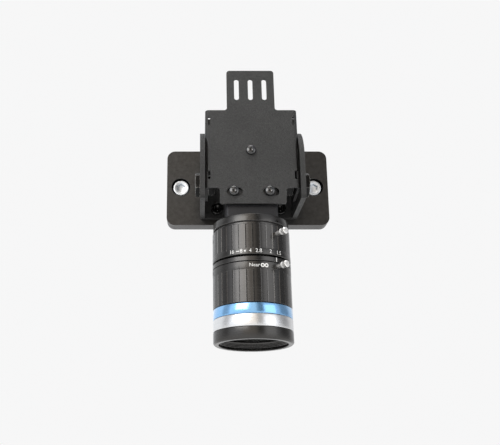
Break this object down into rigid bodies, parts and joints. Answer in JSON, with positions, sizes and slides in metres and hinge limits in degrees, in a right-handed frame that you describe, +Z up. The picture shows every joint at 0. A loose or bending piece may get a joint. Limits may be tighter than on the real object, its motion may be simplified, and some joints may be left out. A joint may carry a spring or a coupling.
{
  "type": "machine vision camera on tilting bracket",
  "caption": "Machine-vision camera with a C-mount lens in a tilting sheet-metal bracket on a profile-mounted base plate.",
  "frame": {"origin": "centre of the base plate's back face, where it seats on an aluminium profile or wall", "axes": "+Y out of the back face into the profile, -Y towards the front of the bracket, +Z up, +X to the right seen from the front"},
  "size_m": [0.1, 0.0707, 0.1618],
  "materials": {
    "anodised_plate": "dark grey anodised, vertical fine brushing",
    "powder_black": "fine-grain matt black powder coat",
    "zinc": "bright zinc plated",
    "black_steel": "black oxide, slightly glossy",
    "lens_black": "semi-gloss black anodised",
    "blue_anodised": "satin blue anodised",
    "satin_silver": "satin clear anodised",
    "camera_grey": "dark grey painted die-cast",
    "steel": "nickel plated",
    "board_green": "solder mask",
    "black_plastic": "moulded",
    "glass": "coated optical glass",
    "brass": "turned"
  },
  "bodies": {
    "mount": {"base_plate": "anodised_plate", "yoke": "powder_black", "mount_bolt_left": "zinc", "mount_bolt_right": "zinc", "yoke_screw_lower_left": "black_steel", "yoke_screw_upper_left": "black_steel", "yoke_screw_lower_right": "black_steel", "yoke_screw_upper_right": "black_steel", "pivot_bolt_left": "black_steel", "pivot_bolt_right": "black_steel", "pivot_washer": "black_steel"},
    "head": {"carrier": "powder_black", "pivot_nut_left": "black_steel", "pivot_nut_right": "black_steel", "camera_pad": "black_plastic", "camera_screw_left": "black_steel", "camera_screw_right": "black_steel", "camera_screw_top": "black_steel", "camera_housing": "camera_grey", "front_block": "camera_grey", "rear_cover": "camera_grey", "data_socket": "steel", "power_socket": "steel", "sensor_board": "board_green", "main_board": "board_green", "image_sensor": "black_plastic", "sensor_window": "glass", "filter_glass": "glass", "lens_mount": "lens_black", "mount_set_screw": "black_steel", "index_tube": "lens_black", "rear_glass": "glass"},
    "aperture": {"aperture_ring": "lens_black", "iris_ring": "brass", "iris_pin": "brass"},
    "focus": {"focus_ring": "lens_black"},
    "front": {"front_barrel": "lens_black", "blue_band": "blue_anodised", "silver_band": "satin_silver", "front_rim": "lens_black", "front_glass": "glass", "glass_retainer": "lens_black", "inner_glass": "glass"},
    "aperture_lock": {"aperture_lock_screw": "steel"},
    "focus_lock": {"focus_lock_screw": "steel"},
    "iris_blade_1": {"iris_blade_1": "black_steel"},
    "iris_blade_2": {"iris_blade_2": "black_steel"},
    "iris_blade_3": {"iris_blade_3": "black_steel"},
    "iris_blade_4": {"iris_blade_4": "black_steel"},
    "iris_blade_5": {"iris_blade_5": "black_steel"},
    "iris_blade_6": {"iris_blade_6": "black_steel"}
  },
  "joints": [
    {"name": "head_tilt", "type": "hinge", "parent": "mount", "child": "head", "pos_m": [0, -0.0335, -0.0065], "axis": [1, 0, 0], "range_deg": [-18, 20]},
    {"name": "aperture_turn", "type": "hinge", "parent": "head", "child": "aperture", "pos_m": [-0.0006, -0.03744, -0.04633], "axis": [0, 0.061, 0.9981], "range_deg": [-5, 67]},
    {"name": "focus_turn", "type": "hinge", "parent": "head", "child": "focus", "pos_m": [-0.0006, -0.0389, -0.07029], "axis": [0, 0.061, 0.9981], "range_deg": [0, 100]},
    {"name": "front_slide", "type": "slide", "parent": "head", "child": "front", "axis": [0, -0.061, -0.9981], "range_m": [0, 0.0027]},
    {"name": "aperture_lock_turn", "type": "hinge", "parent": "aperture", "child": "aperture_lock", "pos_m": [-0.0006, -0.03723, -0.04294], "axis": [0.5906, -0.8055, 0.0493], "range_deg": [0, 180]},
    {"name": "focus_lock_turn", "type": "hinge", "parent": "focus", "child": "focus_lock", "pos_m": [-0.0006, -0.03837, -0.06151], "axis": [0.5906, -0.8055, 0.0493], "range_deg": [0, 180]},
    {"name": "iris_swing_1", "type": "hinge", "parent": "head", "child": "iris_blade_1", "pos_m": [0.0121, -0.03746, -0.04663], "axis": [0, 0.061, 0.9981], "range_deg": [-4, 48]},
    {"name": "iris_swing_2", "type": "hinge", "parent": "head", "child": "iris_blade_2", "pos_m": [0.00575, -0.02651, -0.04772], "axis": [0, 0.061, 0.9981], "range_deg": [-4, 48]},
    {"name": "iris_swing_3", "type": "hinge", "parent": "head", "child": "iris_blade_3", "pos_m": [-0.00695, -0.02653, -0.04814], "axis": [0, 0.061, 0.9981], "range_deg": [-4, 48]},
    {"name": "iris_swing_4", "type": "hinge", "parent": "head", "child": "iris_blade_4", "pos_m": [-0.0133, -0.03753, -0.04789], "axis": [0, 0.061, 0.9981], "range_deg": [-4, 48]},
    {"name": "iris_swing_5", "type": "hinge", "parent": "head", "child": "iris_blade_5", "pos_m": [-0.00695, -0.04854, -0.04764], "axis": [0, 0.061, 0.9981], "range_deg": [-4, 48]},
    {"name": "iris_swing_6", "type": "hinge", "parent": "head", "child": "iris_blade_6", "pos_m": [0.00575, -0.04856, -0.04806], "axis": [0, 0.061, 0.9981], "range_deg": [-4, 48]}
  ],
  "couplings": [
    {"joint": "front_slide", "follows": "focus_turn", "m_per_rad": 0.0015},
    {"joint": "iris_swing_1", "follows": "aperture_turn", "ratio": 0.7},
    {"joint": "iris_swing_2", "follows": "aperture_turn", "ratio": 0.7},
    {"joint": "iris_swing_3", "follows": "aperture_turn", "ratio": 0.7},
    {"joint": "iris_swing_4", "follows": "aperture_turn", "ratio": 0.7},
    {"joint": "iris_swing_5", "follows": "aperture_turn", "ratio": 0.7},
    {"joint": "iris_swing_6", "follows": "aperture_turn", "ratio": 0.7}
  ]
}
